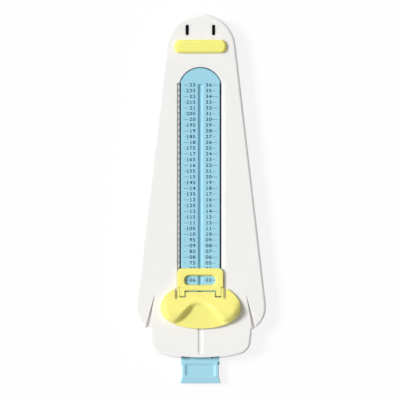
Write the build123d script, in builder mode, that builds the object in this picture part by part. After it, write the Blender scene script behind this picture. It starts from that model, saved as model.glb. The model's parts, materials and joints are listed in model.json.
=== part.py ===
from build123d import *
import math
import os

# Foot length gauge for small children, lying flat, in millimetres.
# +Y points to the head of the body, +Z up, and the origin is under the middle of the whole gauge.
# A slider with a folding toe stop runs along a printed scale, and a heel stop folds up at the belly end.

# ---------------------------------------------------------------- driving dimensions
# body outline, seen from above
body_length = 301.2
body_width = 114.4
head_radius = 30.9
wing_radius = 21.8
wing_centre_from_tail = 45.8
belly_top_from_tail = 55.2
belly_top_half_width = 39.6
belly_bulge_from_tail = 26.0
belly_bulge_half_width = 45.0
belly_foot_half_width = 43.0
belly_bottom_radius = 133.0
belly_corner_radius = 12.5
belly_bulge_radius = 30.0
slit_mouth_from_tail = 24.2
slit_mouth_half_width = 49.3
slit_start_gap = 0.6
slit_depth = 3.0

# housing
foot_height = 1.2
shell_height = 12.8
edge_radius = 2.2
wall = 2.4
rail_depth = 4.4
cover_thickness = 2.4
cover_gap = 0.15
tongue_thickness = 1.2
rib_spacing = 12.0
rib_thickness = 1.2
rib_height = 0.8
groove_width = 4.6
groove_depth = 0.9
groove_draft = 1.3
groove_end_from_heel = 5.4

# printed scale and its reading
scale_pitch = 5.0
scale_rows = 35
first_reading = 60.0
plate_half_width = 16.9
plate_sink = 0.6
plate_thickness = 2.8
plate_flange = 1.6
plate_flange_depth = 5.8
plate_arch_radius = 18.4
plate_arch_rise = 13.1
arch_gap = 0.8
plate_bevel = 0.4
plate_groove_depth = 1.9
plate_groove_top_gap = 1.2
tab_thickness = 2.0
tab_length = 9.0
tab_half_width = 22.6
tab_web_half = 9.0

# well and slots beside the plate
slot_width = 1.25
ledge_sink = 2.2
well_half_width = 20.35
well_top_from_head = 60.3
well_tail = 4.3

# slider
slide_gap = 0.2
carriage_thickness = 2.2
carriage_half_width = 20.1
carriage_front = 10.5
carriage_corner = 4.4
carriage_rounding = 1.0
hinge_rib = 0.5
window_ahead = 8.5
window_length = 26.4
window_width = 7.6
window_draft = 31.0
window_rounding = 0.3
leg_thickness = 1.1
leg_length = 7.3
keeper_thickness = 1.9
keeper_half_width = 19.4
keeper_gap = 0.2
barb = 0.6
barb_height = 0.7
keeper_margin = 0.9

# toe stop and its hinge
toe_knuckle_radius = 1.5
toe_pin_radius = 0.6
toe_lift = 0.3
ear_width = 2.0
ear_gap = 0.2
arm_inner = 13.75
arm_side_gap = 0.95
arm_end_gap = 1.0
arm_length = 5.9
joint_gap = 0.35
bar_drop = 1.2
bar_rounding = 0.9
tongue_gap = 2.25
shoulder_inner = 22.3
shoulder_gap_end = 8.1
shoulder_rise = 0.3
shoulder_tip = 1.0
tongue_step = 7.0
toe_half_width = 34.9
toe_reach = 34.0
toe_upper_shares = ((0.82, 0.12), (0.945, 0.28), (1.0, 0.49))
toe_lower_shares = ((0.95, 0.66), (0.81, 0.80), (0.6, 0.91), (0.33, 0.976))
toe_height = 8.4
toe_crest = 19.0
toe_tip_height = 6.4
toe_rim_height = 4.2
toe_roll = 5.6
toe_overrun = 0.3
toe_rib_pitch = 2.6
toe_rib_points = 16
bell_floor = 2.7
bell_apex = 13.6
bell_rise = 17.5
bell_half_width = 24.5
bell_slope = 4.8
toe_wall = 2.6
toe_plate_thickness = 1.5
toe_core_width = 13.0
toe_core_length = 10.0
toe_core_height = 2.6
toe_core_x = 24.5
toe_core_reach = 20.0

# click rack and spring
rack_width = 1.75
rack_base = 0.3
tooth_height = 0.9
tooth_land = 2.6
tooth_ramp = 0.6
tooth_phase = 0.5
spring_width = 0.9
spring_thickness = 0.25
spring_length = 11.0
spring_pocket = 1.3
nose_dip = 0.4
nose_lean = 0.55

# heel stop and its hinge
heel_half_width = 16.1
heel_draft = 8.0
heel_ear = 0.6
heel_ear_notch = 1.0
heel_ear_notch_length = 2.2
heel_ear_notch_depth = 2.2
heel_rise = 2.9
heel_length = 20.1
heel_axis_height = 4.6
heel_notch = 1.9
heel_gap = 0.2
heel_side_gap = 0.3
heel_pocket_depth = 1.05
heel_wall = 2.6
heel_pocket_start = 2.3
heel_pocket_length = 11.8
heel_skin = 1.2
heel_pocket_taper = 62.0
heel_lip_fall = 0.5
heel_back_length = 13.5
heel_back_depth = 2.9
heel_under = 2.6
heel_lip = 1.7
heel_lip_length = 6.5
heel_lug_radius = 1.95
heel_lug_x = 10.4
heel_lug_width = 2.0
heel_lug_gap = 0.2
heel_lug_neck = 1.1
heel_lug_clearance = 0.2
heel_pin_radius = 1.0
heel_pin_half = 14.0

# face
beak_length = 45.6
beak_width = 11.7
beak_height = 3.0
beak_from_head = 28.5
beak_rounding = 2.7
beak_corner = 5.0
beak_peg_radius = 1.5
beak_peg_spacing = 26.0
eye_width = 2.6
eye_length = 9.1
eye_spacing = 23.0
eye_from_head = 14.1
eye_dome = 0.35
eye_flange = 0.6
eye_flange_thickness = 1.0

# fasteners, pads and small clearances
screw_radius = 1.2
screw_head_radius = 2.3
screw_head_height = 1.2
screw_length = 7.0
drive_length = 3.2
drive_width = 0.65
plate_screw_grip = 3.0
boss_radius = 3.0
boss_inset = 1.0
flank_screws = 4
first_screw_from_head = 61.0
screw_pitch = 56.0
belly_screw_x = 34.0
belly_screw_from_tail = 20.0
tab_screw_x = 19.9
tab_screw_y = 6.0
tail_screw_x = 11.7
tail_screw_y = 5.0
pad_radius = 5.0
pad_inset = 0.8
pad_chamfer = 0.4
pad_head_x = 15.0
pad_head_from_head = 33.0
pad_middle_x = 26.0
pad_middle_from_head = 141.0
pad_belly_x = 23.0
pad_belly_from_tail = 18.0
fit = 0.05
press = 0.02
seat = 0.1

# ---------------------------------------------------------------- worked-out stations
heel_axis_out = heel_rise + heel_gap - heel_notch
overall_length = body_length + heel_axis_out + heel_length
y_head = overall_length / 2
y_belly = y_head - body_length
y_heel_axis = y_belly - heel_axis_out

z_shell = foot_height
z_top = foot_height + shell_height
z_ceiling = z_top - wall
z_rail = z_top - rail_depth
z_cover = foot_height + cover_thickness
z_plate = z_top - plate_sink
z_ledge = z_top - ledge_sink
z_heel_axis = heel_axis_height

travel = scale_pitch * (scale_rows - 1)
z_slide = z_top + slide_gap
z_carriage = z_slide + carriage_thickness
z_toe_axis = z_carriage - toe_knuckle_radius
z_toe = z_top + toe_lift
toe_drop = z_toe_axis - z_toe
heel_floor = y_heel_axis + heel_rise - heel_pocket_depth
y_toe_axis = heel_floor + first_reading + toe_drop
y_window = y_toe_axis - toe_drop + window_ahead
y_carriage = y_window + carriage_front
y_toe_core = y_toe_axis - toe_core_reach
bar_low = y_toe_axis - bar_drop

y_well_top = y_head - well_top_from_head
y_well_bottom = y_toe_axis - arm_length - well_tail
y_plate_top = y_well_top + plate_arch_rise
y_arch_centre = y_plate_top - plate_arch_radius
slot_outer = plate_half_width + slot_width
ear_outer = carriage_half_width
ear_inner = ear_outer - ear_width
arm_outer = ear_inner - ear_gap
tongue_half = arm_inner - arm_side_gap

y_leg_low = y_toe_axis + toe_knuckle_radius + joint_gap
y_leg_mid = y_leg_low + leg_length / 2
x_leg = plate_half_width + slot_width / 2
z_flange = z_plate - plate_flange_depth
z_keeper = z_flange - keeper_gap - keeper_thickness
y_spring = y_carriage - carriage_corner - spring_length / 2
x_rack = (slot_outer + well_half_width) / 2
x_spring = ear_outer - spring_width

wing_centre_from_head = body_length - wing_centre_from_tail
belly_top_from_head = body_length - belly_top_from_tail
belly_bulge_from_head = body_length - belly_bulge_from_tail
slit_mouth_from_head = body_length - slit_mouth_from_tail
wing_centre = (body_width / 2 - wing_radius, y_head - wing_centre_from_head)
belly_arc_centre = (0, y_belly + belly_bottom_radius)


def side_tangent():
    """Angle of the outward normal of the straight flank that joins the head arc to a wing arc."""
    run = wing_centre[0]
    drop = wing_centre[1] - (y_head - head_radius)
    spread = math.hypot(run, drop)
    return math.atan2(drop, run) + math.acos((head_radius - wing_radius) / spread)


def half_width_at(y):
    """Half width of the straight flank at a station y."""
    angle = side_tangent()
    start_y = y_head - head_radius
    return (head_radius - (y - start_y) * math.sin(angle)) / math.cos(angle)


def torso_outline():
    """Head, flanks and both wing tips, closed straight across under the wings."""
    angle = side_tangent()
    nx = math.cos(angle)
    ny = math.sin(angle)
    head = (head_radius * nx, y_head - head_radius + head_radius * ny)
    flank = (wing_centre[0] + wing_radius * nx, wing_centre[1] + wing_radius * ny)
    middle = (angle - math.pi / 2) / 2
    bulge = (
        wing_centre[0] + wing_radius * math.cos(middle),
        wing_centre[1] + wing_radius * math.sin(middle),
    )
    tip = (wing_centre[0], wing_centre[1] - wing_radius)
    with BuildSketch() as outline:
        with BuildLine():
            TangentArc((0, y_head), head, tangent=(1, 0))
            Line(head, flank)
            ThreePointArc(flank, bulge, tip)
            Line(tip, (0, tip[1]))
            mirror(about=Plane.YZ)
        make_face()
    return outline.sketch


def belly_outline():
    """Rounded belly that carries on below the wings."""
    corner_y = belly_arc_centre[1] - math.sqrt(belly_bottom_radius**2 - belly_foot_half_width**2)
    top = (belly_top_half_width, y_head - belly_top_from_head)
    bulge = (belly_bulge_half_width, y_head - belly_bulge_from_head)
    corner = (belly_foot_half_width, corner_y)
    with BuildSketch() as outline:
        with BuildLine():
            Line((0, top[1]), top)
            Line(top, bulge)
            Line(bulge, corner)
            RadiusArc(corner, (0, y_belly), belly_bottom_radius)
            mirror(about=Plane.YZ)
        make_face()
        corners = outline.vertices().filter_by(lambda v: abs(v.Y - corner_y) < seat and abs(v.X) > seat)
        fillet(corners, radius=belly_corner_radius)
        bulges = outline.vertices().filter_by(lambda v: abs(v.Y - bulge[1]) < seat)
        fillet(bulges, radius=belly_bulge_radius)
    return outline.sketch


def slit_outline():
    """Both wedge-shaped slits between a wing and the belly, open at the tail."""
    top = (belly_top_half_width + slit_start_gap, y_head - belly_top_from_head)
    mouth_y = y_head - slit_mouth_from_head
    slope = (belly_bulge_half_width - belly_top_half_width) / (belly_bulge_from_head - belly_top_from_head)
    inner = belly_top_half_width + slope * (slit_mouth_from_head - belly_top_from_head)
    with BuildSketch() as outline:
        with BuildLine():
            Polyline(top, (slit_mouth_half_width, mouth_y), (inner, mouth_y), top)
        make_face()
        mirror(about=Plane.YZ)
    return outline.sketch


def plate_outline(grow, low):
    """Scale plate seen from above: an arch on straight sides, grown all round, ending at y = low."""
    half = plate_half_width
    with BuildSketch() as outline:
        with Locations((0, (low + y_well_top) / 2)):
            Rectangle(2 * half, y_well_top - low)
        with BuildSketch(mode=Mode.PRIVATE) as arch:
            with Locations((0, y_arch_centre)):
                Circle(plate_arch_radius + grow)
            with Locations((0, y_well_top - plate_arch_radius - grow)):
                Rectangle(4 * plate_arch_radius, 2 * (plate_arch_radius + grow), mode=Mode.SUBTRACT)
        add(arch.sketch)
    return outline.sketch


def toe_outline(inset):
    """Toe stop from above, inset from its true edge, through stations that are shares of width and reach."""
    y0 = y_toe_axis + shoulder_rise - inset
    depth = toe_reach + shoulder_rise - 2 * inset
    half = toe_half_width - inset
    shoulder = shoulder_inner + shoulder_tip
    shares = toe_upper_shares + toe_lower_shares
    lobe = [(half * across, y0 - depth * along) for across, along in shares]
    with BuildSketch() as outline:
        with BuildLine():
            Line((-shoulder, y0), (shoulder, y0))
            Spline(
                (shoulder, y0),
                *lobe,
                (0, y0 - depth),
                *[(-x, y) for x, y in reversed(lobe)],
                (-shoulder, y0),
            )
        make_face()
    return outline.sketch


def rectangle(x0, x1, y0, y1, mode=Mode.ADD):
    """Rectangle between two corners, drawn in the open sketch."""
    with Locations(((x0 + x1) / 2, (y0 + y1) / 2)):
        Rectangle(x1 - x0, y1 - y0, mode=mode)


def hand_over(piece, name):
    """Label a finished piece and write it out."""
    piece.part.label = name
    export_step(piece.part, "parts/" + name + ".step")


def groove_section(depth):
    """Cross-section of the centre groove, wide at the surface."""
    with BuildSketch() as section:
        with BuildLine():
            Polyline(
                (-groove_width / 2, 0),
                (groove_width / 2, 0),
                (groove_width / 2 - groove_draft, -depth),
                (-groove_width / 2 + groove_draft, -depth),
                (-groove_width / 2, 0),
            )
        make_face()
    return section.sketch


os.makedirs("parts", exist_ok=True)
torso = torso_outline()
belly = belly_outline()
slits = slit_outline()
torso_inside = offset(torso, -wall)
belly_inside = offset(belly, -wall)
slit_floors = offset(slits, wall)
torso_cover = offset(torso, -wall - cover_gap)
belly_cover = offset(belly, -wall - cover_gap)

screw_places = [(0, y_head - eye_from_head)]
for side in (-1, 1):
    for row in range(flank_screws):
        y = y_head - first_screw_from_head - row * screw_pitch
        screw_places.append((side * (half_width_at(y) - wall - boss_radius - boss_inset), y))
    screw_places.append((side * belly_screw_x, y_belly + belly_screw_from_tail))
tab_places = [(side * tab_screw_x, y_well_top + tab_screw_y) for side in (-1, 1)]
tail_places = [(side * tail_screw_x, y_well_bottom - tail_screw_y) for side in (-1, 1)]
pad_stations = {
    "head": (pad_head_x, y_head - pad_head_from_head),
    "middle": (pad_middle_x, y_head - pad_middle_from_head),
    "belly": (pad_belly_x, y_belly + pad_belly_from_tail),
}
pad_places = {
    "foot_" + where + "_" + side: (sign * x, y)
    for where, (x, y) in pad_stations.items()
    for side, sign in (("left", -1), ("right", 1))
}
beak_centre = (0, y_head - beak_from_head)
eye_places = [(side * eye_spacing / 2, y_head - eye_from_head) for side in (-1, 1)]
peg_places = [(side * beak_peg_spacing / 2, y_head - beak_from_head) for side in (-1, 1)]
heel_ear_half = heel_half_width + heel_ear
heel_pocket_half = heel_ear_half + heel_side_gap
heel_lugs = (-heel_lug_x, heel_lug_x)
heel_wall_half = heel_pocket_half + wall
heel_wall_y = y_belly + heel_notch + wall
rail_half = well_half_width + wall

# ---------------------------------------------------------------- front shell
with BuildPart() as belly_form:
    with BuildSketch(Plane.XY.offset(z_shell)):
        add(belly)
    extrude(amount=shell_height)
    fillet(belly_form.faces().sort_by(Axis.Z)[-1].edges(), radius=edge_radius)

with BuildPart() as front_shell:
    with BuildSketch(Plane.XY.offset(z_shell)):
        add(torso)
    extrude(amount=shell_height)
    fillet(front_shell.faces().sort_by(Axis.Z)[-1].edges(), radius=edge_radius)
    add(belly_form.part)
    # slits between wings and belly
    with BuildSketch(Plane.XY.offset(z_top)):
        add(slits)
    extrude(amount=-slit_depth, mode=Mode.SUBTRACT)
    # hollow inside, in two levels: below the rails, then up to the ceiling
    with BuildSketch(Plane.XY.offset(z_shell)):
        add(torso_inside)
        add(belly_inside)
        rectangle(-heel_wall_half, heel_wall_half, y_belly - wall, heel_wall_y, Mode.SUBTRACT)
    extrude(amount=z_rail - z_shell, mode=Mode.SUBTRACT)
    with BuildSketch(Plane.XY.offset(z_rail)):
        add(torso_inside)
        add(belly_inside)
        rectangle(-heel_wall_half, heel_wall_half, y_belly - wall, heel_wall_y, Mode.SUBTRACT)
        rectangle(-rail_half, rail_half, y_well_bottom - wall, y_plate_top + wall, Mode.SUBTRACT)
        add(slit_floors, mode=Mode.SUBTRACT)
    extrude(amount=z_ceiling - z_rail, mode=Mode.SUBTRACT)
    # opening for the plate with its side slots, then the shallow well round it
    with BuildSketch(Plane.XY.offset(z_rail)):
        add(plate_outline(arch_gap, y_well_bottom))
        rectangle(-slot_outer, slot_outer, y_well_bottom, y_well_top)
    extrude(amount=rail_depth, mode=Mode.SUBTRACT)
    with BuildSketch(Plane.XY.offset(z_ledge)):
        rectangle(-well_half_width, well_half_width, y_well_bottom, y_well_top)
    extrude(amount=ledge_sink, mode=Mode.SUBTRACT)
    # bosses and pilot holes for the cover screws and the plate screws
    with BuildSketch(Plane.XY.offset(z_cover)):
        with Locations(*screw_places):
            Circle(boss_radius)
    extrude(amount=z_ceiling - z_cover)
    with BuildSketch(Plane.XY.offset(z_rail)):
        with Locations(*tail_places):
            Circle(boss_radius)
    extrude(amount=z_ceiling - z_rail)
    with BuildSketch(Plane.XY.offset(z_cover)):
        with Locations(*screw_places):
            Circle(screw_radius + fit)
    extrude(amount=screw_length, mode=Mode.SUBTRACT)
    with BuildSketch(Plane.XY.offset(z_rail)):
        with Locations(*tab_places, *tail_places):
            Circle(screw_radius + fit)
    extrude(amount=plate_screw_grip, mode=Mode.SUBTRACT)
    # holes for the eyes and the beak pegs
    with BuildSketch(Plane.XY.offset(z_ceiling)):
        with Locations(*eye_places):
            SlotOverall(eye_length + 2 * fit, eye_width + 2 * fit, rotation=90)
        with Locations(*peg_places):
            Circle(beak_peg_radius + fit)
    extrude(amount=wall, mode=Mode.SUBTRACT)
    # centre groove on the belly
    with BuildSketch(Plane.XZ.offset(wall - y_well_bottom)):
        with Locations((0, z_top)):
            add(groove_section(groove_depth))
    extrude(amount=y_well_bottom - wall - y_belly - groove_end_from_heel, mode=Mode.SUBTRACT)
    # heel notch through the whole height, and a slot for the tongue of the cover
    with BuildSketch(Plane.XY.offset(z_shell)):
        rectangle(-heel_pocket_half, heel_pocket_half, y_belly - heel_notch, y_belly + 2 * heel_notch)
        with Locations(belly_arc_centre):
            Circle(belly_bottom_radius - heel_notch, mode=Mode.SUBTRACT)
    extrude(amount=shell_height, mode=Mode.SUBTRACT)
    with BuildSketch(Plane.XY.offset(z_shell)):
        for x in heel_lugs:
            half = heel_lug_width / 2 + cover_gap
            rectangle(x - half, x + half, y_belly - wall, heel_wall_y)
    extrude(amount=tongue_thickness + cover_gap, mode=Mode.SUBTRACT)
hand_over(front_shell, "front_shell")

# ---------------------------------------------------------------- back cover with the heel lugs
with BuildPart() as back_cover:
    with BuildSketch(Plane.XY.offset(z_shell)):
        add(torso_cover)
        add(belly_cover)
        heel_clear = heel_wall_half + cover_gap
        rectangle(-heel_clear, heel_clear, y_belly - wall, heel_wall_y + cover_gap, Mode.SUBTRACT)
    extrude(amount=cover_thickness)
    # two tongues under the heel wall, each with a hinge lug standing on its end
    with BuildSketch(Plane.XY.offset(z_shell)):
        for x in heel_lugs:
            half = heel_lug_width / 2
            rectangle(x - half, x + half, y_heel_axis - heel_lug_neck, heel_wall_y + wall)
    extrude(amount=tongue_thickness)
    for x in heel_lugs:
        with BuildSketch(Plane.YZ.offset(x - heel_lug_width / 2)):
            with Locations((y_heel_axis, z_heel_axis)):
                Circle(heel_lug_radius)
            rectangle(y_heel_axis - heel_lug_neck, y_heel_axis + heel_lug_neck, z_shell, z_heel_axis)
            with Locations((y_heel_axis, z_heel_axis)):
                Circle(heel_pin_radius + press, mode=Mode.SUBTRACT)
        extrude(amount=heel_lug_width)
    # stiffening ribs on the inside, clear of the slider keeper
    with BuildSketch(Plane.XY.offset(z_cover)):
        with Locations(*[(x, y_window + travel / 2) for x in (-rib_spacing, 0, rib_spacing)]):
            Rectangle(rib_thickness, travel)
    extrude(amount=rib_height)
    # screw holes with sunk heads, and seats for the pads
    with BuildSketch(Plane.XY.offset(z_shell)):
        with Locations(*screw_places):
            Circle(screw_radius + fit)
    extrude(amount=cover_thickness, mode=Mode.SUBTRACT)
    with BuildSketch(Plane.XY.offset(z_shell)):
        with Locations(*screw_places):
            Circle(screw_head_radius + seat)
    extrude(amount=screw_head_height + seat, mode=Mode.SUBTRACT)
    with BuildSketch(Plane.XY.offset(z_shell)):
        with Locations(*pad_places.values()):
            Circle(pad_radius + fit)
    extrude(amount=pad_inset, mode=Mode.SUBTRACT)
hand_over(back_cover, "back_cover")


def screw(length):
    """Pan-head tapping screw, head down, its head resting on z = 0 and its shank pointing up."""
    with BuildPart() as one:
        with BuildSketch(Plane.XY.offset(-screw_head_height)):
            Circle(screw_head_radius)
        extrude(amount=screw_head_height)
        fillet(one.faces().sort_by(Axis.Z)[0].edges(), radius=screw_head_height / 2)
        with BuildSketch():
            Circle(screw_radius)
        extrude(amount=length)
        chamfer(one.faces().sort_by(Axis.Z)[-1].edges(), length=screw_radius / 2)
        with BuildSketch(Plane.XY.offset(-screw_head_height)):
            Rectangle(drive_length, drive_width)
            Rectangle(drive_width, drive_length)
        extrude(amount=screw_head_height / 2, mode=Mode.SUBTRACT)
    return one.part


z_screw_seat = z_shell + screw_head_height + seat
cover_screw = screw(screw_length)
with BuildPart() as housing_screws:
    for x, y in screw_places:
        add(Pos(x, y, z_screw_seat) * cover_screw)
hand_over(housing_screws, "housing_screws")

plate_screw = screw(tab_thickness + plate_screw_grip - seat)
with BuildPart() as plate_screws:
    for x, y in tab_places + tail_places:
        add(Pos(x, y, z_flange) * plate_screw)
hand_over(plate_screws, "plate_screws")

for name, place in pad_places.items():
    with BuildPart() as foot:
        with BuildSketch():
            with Locations(place):
                Circle(pad_radius)
        extrude(amount=foot_height + pad_inset)
        chamfer(foot.faces().sort_by(Axis.Z)[0].edges(), length=pad_chamfer)
    hand_over(foot, name)

# ---------------------------------------------------------------- face
with BuildPart() as beak:
    with BuildSketch(Plane.XY.offset(z_top)):
        with Locations(beak_centre):
            RectangleRounded(beak_length, beak_width, beak_corner)
    extrude(amount=beak_height)
    fillet(beak.faces().sort_by(Axis.Z)[-1].edges(), radius=beak_rounding)
    with BuildSketch(Plane.XY.offset(z_top)):
        with Locations(*peg_places):
            Circle(beak_peg_radius)
    extrude(amount=-wall)
hand_over(beak, "beak")

for name, place in zip(("left_eye", "right_eye"), eye_places):
    with BuildPart() as eye:
        with BuildSketch(Plane.XY.offset(z_ceiling)):
            with Locations(place):
                SlotOverall(eye_length, eye_width, rotation=90)
        extrude(amount=wall + eye_dome)
        fillet(eye.faces().sort_by(Axis.Z)[-1].edges(), radius=eye_dome)
        with BuildSketch(Plane.XY.offset(z_ceiling)):
            with Locations(place):
                SlotOverall(eye_length + 2 * eye_flange, eye_width + 2 * eye_flange, rotation=90)
        extrude(amount=-eye_flange_thickness)
    hand_over(eye, name)

# ---------------------------------------------------------------- scale plate
y_plate_low = y_well_bottom + arch_gap
z_skin = z_plate - plate_thickness
y_flange_top = y_well_top + plate_flange
with BuildPart() as scale_plate:
    with BuildSketch(Plane.XY.offset(z_skin)):
        add(plate_outline(0, y_plate_low))
    extrude(amount=plate_thickness)
    chamfer(scale_plate.faces().sort_by(Axis.Z)[-1].edges(), length=plate_bevel)
    # side flanges that stiffen it and guide the slider
    with BuildSketch(Plane.XY.offset(z_flange)):
        for side in (-1, 1):
            with Locations((side * (plate_half_width - plate_flange / 2), (y_plate_low + y_flange_top) / 2)):
                Rectangle(plate_flange, y_flange_top - y_plate_low)
    extrude(amount=z_skin - z_flange)
    # mounting tabs at both ends, the upper one joined to the skin by a web
    with BuildSketch(Plane.XY.offset(z_flange)):
        rectangle(-tab_half_width, tab_half_width, y_well_top, y_well_top + tab_length)
        rectangle(-plate_half_width, plate_half_width, y_plate_low - tab_length, y_plate_low + plate_flange)
    extrude(amount=tab_thickness)
    with BuildSketch(Plane.XY.offset(z_flange)):
        rectangle(-tab_web_half, tab_web_half, y_well_top, y_well_top + tab_length)
    extrude(amount=z_skin - z_flange)
    with BuildSketch(Plane.XY.offset(z_flange)):
        with Locations(*tab_places, *tail_places):
            Circle(screw_radius + fit)
    extrude(amount=tab_thickness, mode=Mode.SUBTRACT)
    # centre groove
    with BuildSketch(Plane.XZ.offset(plate_groove_top_gap - y_well_top)):
        with Locations((0, z_plate)):
            add(groove_section(plate_groove_depth))
    extrude(amount=y_well_top - plate_groove_top_gap - y_plate_low, mode=Mode.SUBTRACT)
hand_over(scale_plate, "scale_plate")

# ---------------------------------------------------------------- click rack
z_tooth = z_ledge + rack_base + tooth_height
with BuildPart() as click_rack:
    with BuildSketch(Plane.YZ.offset(-x_rack - rack_width / 2)):
        rack_low = y_well_bottom + cover_gap
        rack_high = y_well_top - cover_gap
        rectangle(rack_low, rack_high, z_ledge, z_ledge + rack_base)
        half = tooth_land / 2
        first = math.ceil((rack_low + half + tooth_ramp - y_spring) / scale_pitch - tooth_phase)
        last = math.floor((rack_high - half - tooth_ramp - y_spring) / scale_pitch - tooth_phase)
        for tooth in range(first, last + 1):
            middle = y_spring + scale_pitch * (tooth + tooth_phase)
            with BuildLine():
                Polyline(
                    (middle - half - tooth_ramp, z_ledge),
                    (middle + half + tooth_ramp, z_ledge),
                    (middle + half, z_tooth),
                    (middle - half, z_tooth),
                    (middle - half - tooth_ramp, z_ledge),
                )
            make_face()
    extrude(amount=rack_width)
hand_over(click_rack, "click_rack")

# ---------------------------------------------------------------- slider carriage
with BuildPart() as carriage:
    with BuildSketch(Plane.XY.offset(z_slide)) as carriage_outline:
        with Locations((0, (y_carriage + bar_low) / 2)):
            Rectangle(2 * carriage_half_width, y_carriage - bar_low)
        front = carriage_outline.vertices().group_by(Axis.Y)[-1]
        fillet(front, radius=carriage_corner)
        for side in (-1, 1):
            with Locations((side * (arm_inner + arm_outer) / 2, y_toe_axis - arm_length / 2)):
                Rectangle(arm_outer - arm_inner, arm_length)
            with Locations((side * (arm_outer + ear_width), (y_leg_low + bar_low) / 2)):
                Rectangle(2 * ear_width, y_leg_low - bar_low, mode=Mode.SUBTRACT)
    extrude(amount=carriage_thickness)
    top_edges = carriage.faces().sort_by(Axis.Z)[-1].edges()
    bar_edges = top_edges.filter_by(lambda e: abs(e.center().Y - bar_low) < fit)
    bar_edge = bar_edges.filter_by(lambda e: abs(e.center().X) < arm_inner)
    fillet(bar_edge, radius=bar_rounding)
    rim = top_edges.filter_by(lambda e: e.center().Y > y_leg_low)
    fillet(rim, radius=carriage_rounding)
    # reading window, wider at the top
    with BuildSketch(Plane.XY.offset(z_slide)):
        with Locations((0, y_window)):
            SlotOverall(window_length, window_width)
    extrude(amount=carriage_thickness, taper=-window_draft, mode=Mode.SUBTRACT)
    window_rim = carriage.faces().sort_by(Axis.Z)[-1].inner_wires()[0].edges()
    fillet(window_rim, radius=window_rounding)
    # hinge rib under the bar
    with BuildSketch(Plane.XY.offset(z_slide)):
        rectangle(-arm_outer, arm_outer, bar_low, y_leg_low)
    extrude(amount=-hinge_rib)
    # legs through the plate slots, with barbs that hold the keeper
    with BuildSketch(Plane.XY.offset(z_slide)):
        with Locations((-x_leg, y_leg_mid), (x_leg, y_leg_mid)):
            Rectangle(leg_thickness, leg_length)
    extrude(amount=z_keeper - barb_height - z_slide)
    with BuildSketch(Plane.XY.offset(z_keeper)):
        for side in (-1, 1):
            with Locations((side * (x_leg + barb / 2), y_leg_mid)):
                Rectangle(leg_thickness + barb, leg_length)
    extrude(amount=-barb_height)
    # pocket for the click spring
    with BuildSketch(Plane.XY.offset(z_slide)):
        with Locations((-x_spring, y_spring)):
            Rectangle(spring_width + 2 * fit, spring_length + 2 * fit)
    extrude(amount=spring_pocket, mode=Mode.SUBTRACT)
    # bore for the hinge pin
    with BuildSketch(Plane.YZ):
        with Locations((y_toe_axis, z_toe_axis)):
            Circle(toe_pin_radius + press)
    extrude(amount=carriage_half_width, both=True, mode=Mode.SUBTRACT)
hand_over(carriage, "carriage")

with BuildPart() as slider_keeper:
    with BuildSketch(Plane.XY.offset(z_keeper)):
        with Locations((0, y_leg_mid)):
            RectangleRounded(2 * keeper_half_width, leg_length + 2 * keeper_margin, keeper_margin)
        with Locations((-x_leg, y_leg_mid), (x_leg, y_leg_mid)):
            Rectangle(leg_thickness + 2 * fit, leg_length + 2 * fit, mode=Mode.SUBTRACT)
    extrude(amount=keeper_thickness)
hand_over(slider_keeper, "slider_keeper")

z_spring = z_slide + spring_pocket
z_nose = z_tooth - nose_dip
with BuildPart() as click_spring:
    with BuildSketch(Plane.YZ.offset(-x_spring - spring_width / 2)):
        half = spring_length / 2
        lean = (z_spring - z_nose) * nose_lean
        with BuildLine():
            Polyline(
                (y_spring - half, z_spring),
                (y_spring - lean + spring_thickness, z_spring),
                (y_spring, z_nose + 2 * spring_thickness),
                (y_spring + lean - spring_thickness, z_spring),
                (y_spring + half, z_spring),
                (y_spring + half, z_spring - spring_thickness),
                (y_spring + lean, z_spring - spring_thickness),
                (y_spring, z_nose),
                (y_spring - lean, z_spring - spring_thickness),
                (y_spring - half, z_spring - spring_thickness),
                (y_spring - half, z_spring),
            )
        make_face()
    extrude(amount=spring_width)
hand_over(click_spring, "click_spring")

with BuildPart() as toe_pin:
    with BuildSketch(Plane.YZ):
        with Locations((y_toe_axis, z_toe_axis)):
            Circle(toe_pin_radius)
    extrude(amount=ear_outer - seat, both=True)
hand_over(toe_pin, "toe_pin")

# ---------------------------------------------------------------- toe stop


def ease(t):
    """Smooth step from 0 to 1."""
    t = max(0.0, min(1.0, t))
    return t * t * (3 - 2 * t)


def toe_thickness(x, y, inset):
    """Height of the puffy top over the flat underside, inset being the distance to the outline."""
    reach = y_toe_axis - y
    flat = z_carriage - z_toe
    rise = ease((reach - tongue_step) / (toe_crest - tongue_step))
    fall = ease((reach - toe_crest) / (toe_reach - toe_crest))
    crest = flat + (toe_height - flat) * rise - (toe_height - toe_tip_height) * fall
    rim = flat + (toe_rim_height - flat) * rise
    lobe = rim + (crest - rim) * math.sin(math.pi / 2 * max(-toe_overrun, min(1.0, inset / toe_roll)))
    # the bell-shaped dip between the lobes follows a cosine
    turn = math.pi * min(abs(x), bell_half_width) / bell_half_width
    edge = bell_apex + bell_rise * (1 - math.cos(turn)) / 2
    steepness = bell_rise * math.pi / (2 * bell_half_width) * math.sin(turn)
    climb = ease((edge - reach) / math.hypot(1, steepness) / bell_slope)
    dip = min(lobe, bell_floor)
    return dip + (lobe - dip) * climb


def toe_rib(x, outline):
    """Cross-section of the toe stop at a station x, a little longer than the outline."""
    start = y_toe_axis + 2 * shoulder_rise
    end = y_toe_axis - toe_reach - 2 * shoulder_rise
    top = []
    for i in range(toe_rib_points + 1):
        y = start + (end - start) * i / toe_rib_points
        inset = outline.outer_wire().distance_to(Vector(x, y, 0))
        if not outline.is_inside(Vector(x, y, 0)):
            inset = -inset
        if y > y_toe_axis - tongue_step:
            inset = max(inset, toe_roll)
        top.append((y, z_toe + toe_thickness(x, y, inset)))
    with BuildSketch(Plane.YZ.offset(x)) as rib:
        with BuildLine():
            Spline(*top)
            Polyline(top[-1], (end, z_toe - toe_lift), (start, z_toe - toe_lift), top[0])
        make_face()
    return rib.sketch


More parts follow.
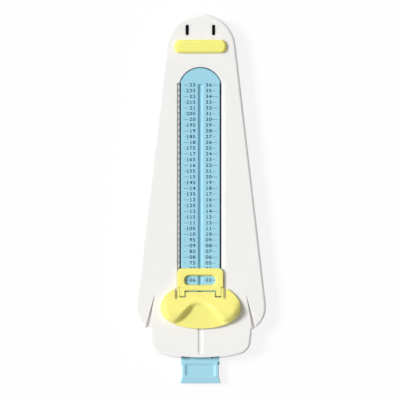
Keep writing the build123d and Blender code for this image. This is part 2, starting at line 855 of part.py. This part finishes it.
toe_face = toe_outline(0).face()
toe_ribs = math.ceil(toe_half_width / toe_rib_pitch) + 1
y_pocket = y_toe_axis - shoulder_gap_end - toe_plate_thickness
with BuildPart() as toe_flap:
    loft(sections=[toe_rib(i * toe_rib_pitch, toe_face) for i in range(-toe_ribs, toe_ribs + 1)])
    with BuildSketch(Plane.XY.offset(z_toe)):
        add(toe_outline(0))
    extrude(amount=2 * toe_height, mode=Mode.INTERSECT)
    # room for the carriage bar, its arms and the side gaps
    with BuildSketch(Plane.XY.offset(z_toe)):
        rectangle(-shoulder_inner, shoulder_inner, y_toe_axis - tongue_gap, y_toe_axis + shoulder_inner)
        for side in (-1, 1):
            arm_room = arm_length + arm_end_gap
            with Locations((side * (tongue_half + ear_inner) / 2, y_toe_axis - arm_room / 2)):
                Rectangle(ear_inner - tongue_half, arm_room)
            with Locations((side * (ear_outer + shoulder_inner) / 2, y_toe_axis - shoulder_gap_end / 2)):
                Rectangle(shoulder_inner - ear_outer, shoulder_gap_end)
    extrude(amount=2 * toe_height, mode=Mode.SUBTRACT)
    # hinge ears round the pin
    for side in (-1, 1):
        with BuildSketch(Plane.YZ.offset(side * ear_inner)):
            with Locations((y_toe_axis, z_toe_axis)):
                Circle(toe_knuckle_radius)
            rectangle(y_toe_axis - arm_length, y_toe_axis, z_toe, z_carriage)
        extrude(amount=side * ear_width)
    with BuildSketch(Plane.YZ):
        with Locations((y_toe_axis, z_toe_axis)):
            Circle(toe_pin_radius + fit)
    extrude(amount=ear_outer, both=True, mode=Mode.SUBTRACT)
    # hollow lobes and the seat of the plate that closes them
    with BuildSketch(Plane.XY.offset(z_toe)):
        add(toe_outline(toe_wall))
        rectangle(-toe_half_width, toe_half_width, y_pocket, y_toe_axis, Mode.SUBTRACT)
    extrude(amount=toe_plate_thickness, mode=Mode.SUBTRACT)
    with BuildSketch(Plane.XY.offset(z_toe)):
        with Locations((-toe_core_x, y_toe_core), (toe_core_x, y_toe_core)):
            Ellipse(toe_core_width / 2, toe_core_length / 2)
    extrude(amount=toe_plate_thickness + toe_core_height, mode=Mode.SUBTRACT)
hand_over(toe_flap, "toe_flap")

with BuildPart() as toe_plate:
    with BuildSketch(Plane.XY.offset(z_toe)):
        add(toe_outline(toe_wall + fit))
        rectangle(-toe_half_width, toe_half_width, y_pocket - fit, y_toe_axis, Mode.SUBTRACT)
    extrude(amount=toe_plate_thickness)
hand_over(toe_plate, "toe_plate")

# ---------------------------------------------------------------- heel stop
z_heel_top = z_heel_axis + heel_rise
z_heel_low = z_heel_axis - heel_under
y_heel_end = y_heel_axis - heel_length
y_heel_lip = y_heel_end + heel_lip_length
with BuildPart() as heel_stop:
    with BuildSketch(Plane.YZ):
        with BuildLine():
            Polyline(
                (y_heel_axis, z_heel_top),
                (y_heel_lip, z_heel_top),
                (y_heel_end, z_heel_top - heel_lip_fall),
                (y_heel_end, z_heel_low),
                (y_heel_axis, z_heel_low),
                (y_heel_axis, z_heel_top),
            )
        make_face()
    extrude(amount=heel_half_width + heel_lip, both=True)
    # outline with a flared lip
    with BuildSketch(Plane.XY.offset(z_heel_low)):
        with BuildLine():
            Polyline(
                (0, y_heel_end),
                (heel_half_width + heel_lip, y_heel_end),
                (heel_half_width, y_heel_lip),
                (heel_half_width, y_heel_axis + heel_rise),
                (-heel_half_width, y_heel_axis + heel_rise),
                (-heel_half_width, y_heel_lip),
                (-heel_half_width - heel_lip, y_heel_end),
                (0, y_heel_end),
            )
        make_face()
    extrude(amount=heel_rise + heel_under, taper=heel_draft, mode=Mode.INTERSECT)
    # hinge barrel that follows the curved edge of the notch, flat on top and below
    notch_radius = belly_bottom_radius - heel_notch + heel_gap
    y_ear = belly_arc_centre[1] - math.sqrt(notch_radius**2 - heel_ear_half**2)
    with BuildSketch(Plane.XY.offset(z_heel_axis)):
        with BuildLine():
            Polyline(
                (-heel_ear_half, y_ear),
                (-heel_ear_half, y_heel_axis),
                (heel_ear_half, y_heel_axis),
                (heel_ear_half, y_ear),
            )
            Spline((heel_ear_half, y_ear), (0, y_heel_axis + heel_rise), (-heel_ear_half, y_ear))
        make_face()
    revolve(axis=Axis((0, y_heel_axis, z_heel_axis), (1, 0, 0)), revolution_arc=360)
    y_above = y_heel_axis + 2 * heel_rise
    y_below = y_heel_axis - 2 * heel_rise
    with BuildSketch(Plane.XY.offset(z_heel_top)):
        rectangle(-heel_pocket_half, heel_pocket_half, y_below, y_above)
    extrude(amount=heel_rise, mode=Mode.SUBTRACT)
    with BuildSketch(Plane.XY.offset(z_heel_low)):
        rectangle(-heel_pocket_half, heel_pocket_half, y_below, y_above)
    extrude(amount=-heel_rise, mode=Mode.SUBTRACT)
    # notch behind each ear
    with BuildSketch(Plane.XY.offset(z_heel_top)):
        for side in (-1, 1):
            with Locations((side * heel_pocket_half, y_heel_axis - heel_ear_notch_length)):
                Rectangle(2 * (heel_pocket_half - heel_half_width + heel_ear_notch), heel_ear_notch_length)
    extrude(amount=-heel_ear_notch_depth, mode=Mode.SUBTRACT)
    # room for the lugs through the whole swing
    for x in heel_lugs:
        with BuildSketch(Plane.YZ.offset(x - heel_lug_width / 2 - heel_lug_gap)):
            with Locations((y_heel_axis, z_heel_axis)):
                Circle(heel_lug_radius + heel_lug_clearance)
            reach = heel_lug_neck + heel_lug_clearance
            rectangle(y_heel_axis - reach, y_above, z_heel_low, z_heel_axis + reach)
            swing = z_heel_axis - z_shell - tongue_thickness - heel_lug_clearance
            rectangle(y_heel_axis + swing, y_above, z_heel_low, z_heel_top)
        extrude(amount=heel_lug_width + 2 * heel_lug_gap, mode=Mode.SUBTRACT)
    # dished heel pocket in the face, hollow back
    pocket_mid = y_heel_axis - heel_pocket_start - heel_pocket_length / 2
    slope = heel_pocket_depth * math.tan(math.radians(heel_pocket_taper))
    for sink, inset in ((0, 0), (heel_pocket_depth, slope)):
        with BuildSketch(Plane.XY.offset(z_heel_top - sink)):
            with Locations((0, pocket_mid)):
                half = heel_half_width - heel_wall - inset
                RectangleRounded(2 * half, heel_pocket_length - 2 * inset, heel_wall / 2)
    loft(mode=Mode.SUBTRACT)
    with BuildSketch(Plane.XY.offset(z_heel_low)):
        with Locations((0, y_heel_end + heel_skin + heel_back_length / 2)):
            Rectangle(2 * (heel_half_width - heel_skin - heel_ear_notch), heel_back_length)
    extrude(amount=heel_back_depth, mode=Mode.SUBTRACT)
    with BuildSketch(Plane.YZ):
        with Locations((y_heel_axis, z_heel_axis)):
            Circle(heel_pin_radius + fit)
    extrude(amount=heel_pin_half + seat, both=True, mode=Mode.SUBTRACT)
hand_over(heel_stop, "heel_stop")

with BuildPart() as heel_pin:
    with BuildSketch(Plane.YZ):
        with Locations((y_heel_axis, z_heel_axis)):
            Circle(heel_pin_radius)
    extrude(amount=heel_pin_half, both=True)
hand_over(heel_pin, "heel_pin")
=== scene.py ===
"""Looks of a foot length gauge: finishes, printed scale, floor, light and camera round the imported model."""

import json
import math

import bpy
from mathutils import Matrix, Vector

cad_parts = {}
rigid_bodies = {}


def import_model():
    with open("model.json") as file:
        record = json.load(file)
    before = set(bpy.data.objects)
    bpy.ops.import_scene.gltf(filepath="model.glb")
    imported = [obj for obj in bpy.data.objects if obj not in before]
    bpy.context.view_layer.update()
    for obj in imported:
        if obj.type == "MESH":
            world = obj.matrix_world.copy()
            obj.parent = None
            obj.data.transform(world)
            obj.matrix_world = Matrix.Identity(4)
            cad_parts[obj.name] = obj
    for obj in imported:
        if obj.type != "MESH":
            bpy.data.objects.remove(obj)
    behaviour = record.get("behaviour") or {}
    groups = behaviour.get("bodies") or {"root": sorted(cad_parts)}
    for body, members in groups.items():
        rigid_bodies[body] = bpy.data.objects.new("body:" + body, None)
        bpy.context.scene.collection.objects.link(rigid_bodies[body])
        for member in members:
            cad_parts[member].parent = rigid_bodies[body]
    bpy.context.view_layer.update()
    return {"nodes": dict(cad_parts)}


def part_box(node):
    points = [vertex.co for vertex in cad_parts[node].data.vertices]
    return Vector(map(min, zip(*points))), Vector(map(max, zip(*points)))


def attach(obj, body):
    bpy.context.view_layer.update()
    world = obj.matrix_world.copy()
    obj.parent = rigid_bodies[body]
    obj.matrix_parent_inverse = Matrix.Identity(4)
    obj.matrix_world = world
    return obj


for leftover in list(bpy.data.objects):
    bpy.data.objects.remove(leftover)

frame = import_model()

MM = 0.001

# ---------------------------------------------------------------- sizes in metres, angles in radians
# view from straight above; lens and sensor are in millimetres, as cameras state them
PICTURE_WIDTH = 348.4 * MM
PICTURE_CENTRE = Vector((-0.35 * MM, -0.91 * MM, 0))
LENS = 300.0
SENSOR = 36.0
VIEW_END = 50.0

# a lamp from the left and a pale sky that is brighter on the left; both levels together are just under white
KEY_LEVEL = 0.64
KEY_AZIMUTH = math.radians(165)
KEY_HEIGHT = math.radians(41)
KEY_SPREAD = math.radians(20)
SKY_LEVEL = 0.33
SKY_LEAN = 0.25

# floor, which glows almost white where it is seen, so that only a soft shadow is left on it
FLOOR_SIZE = 6.0
FLOOR_SHADE = 0.97
FLOOR_ROUGHNESS = 0.9
FLOOR_GLOW = 0.86

# how deep light reaches into the plastics, and the least share of that for any colour
SOFT_DEPTH = 2.0 * MM
SOFT_LEAST = 0.35

# unevenness of the finishes: noises per metre, their detail, and the middle stretch that is used
TONE_SCALE = 28.0
TONE_DETAIL = 3.0
GLOSS_SCALE = 140.0
GLOSS_DETAIL = 2.0
MOULDED_SCALE = 900.0
BRUSHED_SCALE = 2200.0
GRAIN_DETAIL = 4.0
GRAIN_DEPTH = 0.05 * MM
NOISE_LOW = 0.3
NOISE_HIGH = 0.7
ROUGHNESS_DRIFT = 0.05

# sockets of a Mix node that mixes colours, which share their names with its other sockets
MIX_SHARE = 0
MIX_FIRST = 6
MIX_SECOND = 7
MIX_RESULT = 2

# printed scale: what it says
SCALE_PITCH = 5.0 * MM
SCALE_ROWS = 35
FIRST_SIZE = 2
FIRST_HALF_CENTIMETRES = 12
CARRIAGE_FRONT = 10.5 * MM

# printed scale: its figures, and the short foot under each 1
FIGURE_HEIGHT = 2.9 * MM
FIGURE_SHARE_OF_FONT = 0.7
FIGURE_WIDENING = 1.2
FIGURE_STEP = 2.85 * MM
FIGURE_WEIGHT = 0.09 * MM
FIGURE_CURVE_STEPS = 4
ONE_FOOT = 1.5 * MM
ONE_FOOT_WEIGHT = 0.36 * MM
LEFT_FIGURES_X = -4.0 * MM
RIGHT_FIGURES_X = 4.4 * MM
INK_THICKNESS = 0.02 * MM

# printed scale: its ticks
TICK_WIDTH = 0.30 * MM
LEFT_TICK_START = -14.3 * MM
LEFT_TICK_LONG = -9.9 * MM
LEFT_TICK_SHORT = -13.1 * MM
RIGHT_TICK_START = 10.0 * MM
RIGHT_TICK_INSET = 0.7 * MM
RIGHT_TICK_LONG = 14.8 * MM
RIGHT_TICK_SHORT = 12.9 * MM

# ---------------------------------------------------------------- looks
# colours are 0-255 screen values; the names are the record's material slots and three more
LOOKS = {
    "shell_white": dict(colour=(250, 246, 243), roughness=0.5, mottle=0.008, gloss=0.15, soft=0.8),
    "plate_blue": dict(colour=(160, 215, 233), roughness=0.42, mottle=0.015, gloss=0.3),
    "stop_blue": dict(colour=(166, 217, 233), roughness=0.4, mottle=0.02, gloss=0.2, soft=0.1),
    "slider_yellow": dict(colour=(253, 243, 139), roughness=0.42, mottle=0.01, gloss=0.2, soft=0.2),
    "beak_yellow": dict(colour=(253, 245, 136), roughness=0.42, mottle=0.01, gloss=0.2, soft=0.3),
    "eye_black": dict(colour=(4, 1, 3), roughness=0.5, mottle=0.1, grain=0.01, gloss=0.05),
    "keeper_grey": dict(colour=(168, 170, 172), roughness=0.42),
    "steel": dict(
        colour=(196, 198, 200),
        roughness=0.28,
        mottle=0.05,
        grain=0.06,
        grain_scale=BRUSHED_SCALE,
        metallic=1.0,
    ),
    "foot_rubber": dict(colour=(70, 72, 75), roughness=0.78, mottle=0.08, grain=0.2),
    # back_cover: blue plastic, darkened to deep teal as painted shade for the dim inside seen through the
    # slots and gaps
    "cover": dict(colour=(70, 122, 142), roughness=0.5, gloss=0.2),
    "rack": dict(colour=(245, 243, 241), roughness=0.45, mottle=0.008),
    "ink": dict(colour=(8, 62, 96), roughness=0.5, mottle=0.06, grain=0.02),
}
# nodes whose finish differs from their slot's; the back_cover's finish is darkened as painted shade
OWN_LOOKS = {"back_cover": "cover", "click_rack": "rack"}


def linear(value):
    """Linear share of light from a 0-255 screen value, by the sRGB curve."""
    value = value / 255
    return value / 12.92 if value <= 0.04045 else ((value + 0.055) / 1.055) ** 2.4


def make_finish(
    name,
    colour,
    roughness,
    mottle=0.03,
    grain=0.04,
    grain_scale=MOULDED_SCALE,
    gloss=0.4,
    soft=0.0,
    metallic=0.0,
):
    """A finish with a faint tone drift, slightly uneven gloss and a fine grain."""
    material = bpy.data.materials.new(name)
    material.use_nodes = True
    tree = material.node_tree
    shader = tree.nodes["Principled BSDF"]
    tone = [linear(part) for part in colour]
    shader.inputs["Specular IOR Level"].default_value = gloss
    shader.inputs["Metallic"].default_value = metallic
    if soft:
        shader.inputs["Subsurface Weight"].default_value = soft
        shader.inputs["Subsurface Radius"].default_value = [max(part, SOFT_LEAST) for part in tone]
        shader.inputs["Subsurface Scale"].default_value = SOFT_DEPTH
    coordinates = tree.nodes.new("ShaderNodeTexCoord")

    def noise(scale, detail):
        node = tree.nodes.new("ShaderNodeTexNoise")
        node.inputs["Scale"].default_value = scale
        node.inputs["Detail"].default_value = detail
        tree.links.new(coordinates.outputs["Object"], node.inputs["Vector"])
        return node.outputs["Fac"]

    def stretch(source, low, high):
        node = tree.nodes.new("ShaderNodeMapRange")
        node.inputs["From Min"].default_value = NOISE_LOW
        node.inputs["From Max"].default_value = NOISE_HIGH
        node.inputs["To Min"].default_value = low
        node.inputs["To Max"].default_value = high
        tree.links.new(source, node.inputs["Value"])
        return node.outputs["Result"]

    # tone drifts between a slightly darker and a slightly lighter colour
    mix = tree.nodes.new("ShaderNodeMix")
    mix.data_type = "RGBA"
    mix.inputs[MIX_FIRST].default_value = [part * (1 - mottle) for part in tone] + [1.0]
    mix.inputs[MIX_SECOND].default_value = [min(1.0, part * (1 + mottle)) for part in tone] + [1.0]
    tree.links.new(stretch(noise(TONE_SCALE, TONE_DETAIL), 0.0, 1.0), mix.inputs[MIX_SHARE])
    tree.links.new(mix.outputs[MIX_RESULT], shader.inputs["Base Color"])

    # roughness drifts a little both ways, in smaller patches
    low = roughness - ROUGHNESS_DRIFT
    high = roughness + ROUGHNESS_DRIFT
    tree.links.new(stretch(noise(GLOSS_SCALE, GLOSS_DETAIL), low, high), shader.inputs["Roughness"])

    # fine grain
    bump = tree.nodes.new("ShaderNodeBump")
    bump.inputs["Strength"].default_value = grain
    bump.inputs["Distance"].default_value = GRAIN_DEPTH
    tree.links.new(noise(grain_scale, GRAIN_DETAIL), bump.inputs["Height"])
    tree.links.new(bump.outputs["Normal"], shader.inputs["Normal"])
    return material


finishes = {name: make_finish(name + "_finish", **look) for name, look in LOOKS.items()}
for name, node in frame["nodes"].items():
    for place in node.material_slots:
        look = OWN_LOOKS.get(name, place.material.name)
        place.link = "OBJECT"
        place.material = finishes[look]

# ---------------------------------------------------------------- printed scale
ink_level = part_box("scale_plate")[1].z
first_row_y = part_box("carriage")[1].y - CARRIAGE_FRONT


def printed_bar(x0, x1, y, width):
    """Corners of one printed bar along x."""
    low = y - width / 2
    high = y + width / 2
    z = ink_level + INK_THICKNESS
    return [(x0, low, z), (x1, low, z), (x1, high, z), (x0, high, z)]


def printed_figure(figure, x, y, name):
    """One figure as a flat letter shape centred at x, y."""
    curve = bpy.data.curves.new(name, "FONT")
    curve.body = figure
    curve.align_x = "CENTER"
    curve.align_y = "CENTER"
    curve.size = FIGURE_HEIGHT / FIGURE_SHARE_OF_FONT
    curve.offset = FIGURE_WEIGHT
    curve.extrude = INK_THICKNESS / 2
    curve.resolution_u = FIGURE_CURVE_STEPS
    figure_object = bpy.data.objects.new(name, curve)
    figure_object.scale.x = FIGURE_WIDENING
    figure_object.location = (x, y, ink_level + INK_THICKNESS / 2)
    bpy.context.scene.collection.objects.link(figure_object)
    return figure_object


def printed_number(text, x, y, name, align):
    """Figures of one number that ends (right) or starts (left) at x, and the bars under its 1s."""
    first = 0.5 - len(text) if align == "right" else 0.5
    made = []
    feet = []
    for place, figure in enumerate(text):
        centre = x + (first + place) * FIGURE_STEP
        made.append(printed_figure(figure, centre, y, name + "_" + str(place)))
        if figure == "1":
            foot_y = y - FIGURE_HEIGHT / 2 + ONE_FOOT_WEIGHT / 2
            feet.append(printed_bar(centre - ONE_FOOT / 2, centre + ONE_FOOT / 2, foot_y, ONE_FOOT_WEIGHT))
    return made, feet


figure_objects = []
bars = []
for row in range(SCALE_ROWS):
    y = first_row_y + row * SCALE_PITCH
    # foot length in centimetres on the left, with a 5 after it for a half, and a size number on the right
    length, half = divmod(FIRST_HALF_CENTIMETRES + row, 2)
    size = FIRST_SIZE + row
    columns = (
        (str(length) + "5" if half else "%02d" % length, LEFT_FIGURES_X, "length_", "right"),
        ("%02d" % size, RIGHT_FIGURES_X, "size_", "left"),
    )
    for text, x, kind, align in columns:
        made, feet = printed_number(text, x, y, kind + str(row), align)
        figure_objects += made
        bars += feet
    # ticks, short for a half centimetre and for an odd size
    left_end = LEFT_TICK_SHORT if half else LEFT_TICK_LONG
    bars.append(printed_bar(LEFT_TICK_START, left_end, y, TICK_WIDTH))
    if size % 2:
        bars.append(printed_bar(RIGHT_TICK_START + RIGHT_TICK_INSET, RIGHT_TICK_SHORT, y, TICK_WIDTH))
    else:
        bars.append(printed_bar(RIGHT_TICK_START, RIGHT_TICK_LONG, y, TICK_WIDTH))

with bpy.context.temp_override(
    active_object=figure_objects[0], selected_editable_objects=figure_objects, selected_objects=figure_objects
):
    bpy.ops.object.convert(target="MESH")
    bpy.ops.object.join()
numerals = figure_objects[0]
numerals.name = "scale_numerals"

tick_mesh = bpy.data.meshes.new("scale_ticks")
tick_mesh.from_pydata(
    [corner for bar in bars for corner in bar],
    [],
    [tuple(range(4 * i, 4 * i + 4)) for i in range(len(bars))],
)
ticks = bpy.data.objects.new("scale_ticks", tick_mesh)
bpy.context.scene.collection.objects.link(ticks)
for printed in (numerals, ticks):
    printed.data.materials.clear()
    printed.data.materials.append(finishes["ink"])
    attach(printed, "housing")


# ---------------------------------------------------------------- floor and sky
def is_looked_at(tree):
    """1 for rays from the camera, from a reflection or through something clear, and 0 for the rest."""
    rays = tree.nodes.new("ShaderNodeLightPath")
    total = rays.outputs["Is Camera Ray"]
    for kind in ("Is Glossy Ray", "Is Transmission Ray"):
        either = tree.nodes.new("ShaderNodeMath")
        either.operation = "MAXIMUM"
        tree.links.new(total, either.inputs[0])
        tree.links.new(rays.outputs[kind], either.inputs[1])
        total = either.outputs[0]
    return total


def mix_shaders(tree, share, first, second, output):
    """Send first to the output, with second taking over by the given share."""
    mixed = tree.nodes.new("ShaderNodeMixShader")
    tree.links.new(share, mixed.inputs["Fac"])
    tree.links.new(first, mixed.inputs[1])
    tree.links.new(second, mixed.inputs[2])
    tree.links.new(mixed.outputs["Shader"], tree.nodes[output].inputs["Surface"])


def make_floor():
    """White floor that keeps a faint shadow."""
    bpy.ops.mesh.primitive_plane_add(size=FLOOR_SIZE)
    floor = bpy.context.object
    floor.name = "floor"
    paper = bpy.data.materials.new("floor_finish")
    paper.use_nodes = True
    tree = paper.node_tree
    diffuse = tree.nodes["Principled BSDF"]
    diffuse.inputs["Base Color"].default_value = (FLOOR_SHADE, FLOOR_SHADE, FLOOR_SHADE, 1)
    diffuse.inputs["Roughness"].default_value = FLOOR_ROUGHNESS
    diffuse.inputs["Specular IOR Level"].default_value = 0.0
    glow = tree.nodes.new("ShaderNodeEmission")
    glow.inputs["Strength"].default_value = 1.0
    share = tree.nodes.new("ShaderNodeMath")
    share.operation = "MULTIPLY"
    share.inputs[1].default_value = FLOOR_GLOW
    tree.links.new(is_looked_at(tree), share.inputs[0])
    mix_shaders(tree, share.outputs[0], diffuse.outputs["BSDF"], glow.outputs["Emission"], "Material Output")
    floor.data.materials.append(paper)
    return floor


def make_sky():
    """Pale light all round, stronger from the left, that shows as plain white where it is looked at."""
    sky = bpy.data.worlds.new("soft_sky")
    sky.use_nodes = True
    tree = sky.node_tree
    background = tree.nodes["Background"]
    background.inputs["Color"].default_value = (1, 1, 1, 1)
    facing = tree.nodes.new("ShaderNodeTexCoord")
    sideways = tree.nodes.new("ShaderNodeSeparateXYZ")
    level = tree.nodes.new("ShaderNodeMapRange")
    level.inputs["From Min"].default_value = -1.0
    level.inputs["From Max"].default_value = 1.0
    level.inputs["To Min"].default_value = SKY_LEVEL * (1 + SKY_LEAN)
    level.inputs["To Max"].default_value = SKY_LEVEL * (1 - SKY_LEAN)
    tree.links.new(facing.outputs["Generated"], sideways.inputs["Vector"])
    tree.links.new(sideways.outputs["X"], level.inputs["Value"])
    tree.links.new(level.outputs["Result"], background.inputs["Strength"])
    white = tree.nodes.new("ShaderNodeBackground")
    white.inputs["Color"].default_value = (1, 1, 1, 1)
    white.inputs["Strength"].default_value = 1.0
    light = background.outputs["Background"]
    mix_shaders(tree, is_looked_at(tree), light, white.outputs["Background"], "World Output")
    return sky


floor = make_floor()
bpy.context.scene.world = make_sky()

# ---------------------------------------------------------------- lamp
lamp = bpy.data.lights.new("key", "SUN")
lamp.energy = math.pi * KEY_LEVEL / math.sin(KEY_HEIGHT)
lamp.angle = KEY_SPREAD
key = bpy.data.objects.new("key", lamp)
across = math.cos(KEY_HEIGHT)
towards = Vector((math.cos(KEY_AZIMUTH) * across, math.sin(KEY_AZIMUTH) * across, math.sin(KEY_HEIGHT)))
key.rotation_mode = "QUATERNION"
key.rotation_quaternion = towards.to_track_quat("Z", "Y")
bpy.context.scene.collection.objects.link(key)

# ---------------------------------------------------------------- camera
eye = bpy.data.cameras.new("camera")
eye.lens = LENS
eye.sensor_width = SENSOR
eye.clip_end = VIEW_END
camera = bpy.data.objects.new("camera", eye)
camera.location = PICTURE_CENTRE + Vector((0, 0, ink_level + PICTURE_WIDTH * LENS / SENSOR))
bpy.context.scene.collection.objects.link(camera)
bpy.context.scene.camera = camera
bpy.context.scene.view_settings.view_transform = "Standard"
